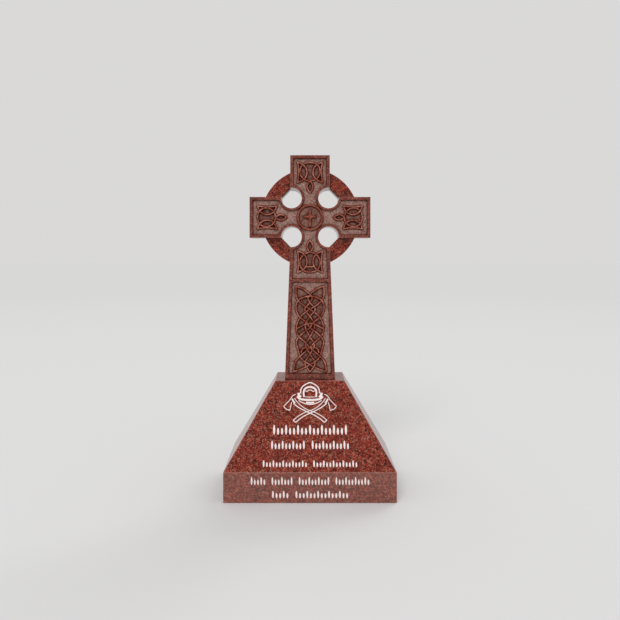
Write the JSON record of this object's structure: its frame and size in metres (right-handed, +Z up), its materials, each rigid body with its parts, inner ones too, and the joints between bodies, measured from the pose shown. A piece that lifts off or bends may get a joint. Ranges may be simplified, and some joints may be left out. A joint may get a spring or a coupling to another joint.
{
  "type": "celtic cross headstone",
  "caption": "Wheel cross of red granite with carved knotwork, standing on a granite base with sloping faces and a low upright band.",
  "frame": {"origin": "middle of the base's underside, at ground level", "axes": "+Z up; the carved front faces -Y; +X is to the right, seen from the front"},
  "size_m": [0.762, 0.406, 1.546],
  "materials": {
    "cross_granite": "red granite: polished borders, wheel, sides and back, with frosted sunk panels",
    "base_granite": "polished red granite, with whitened cut strokes and emblem on the front"
  },
  "bodies": {
    "root": {"cross": "cross_granite", "base": "base_granite"}
  },
  "joints": []
}
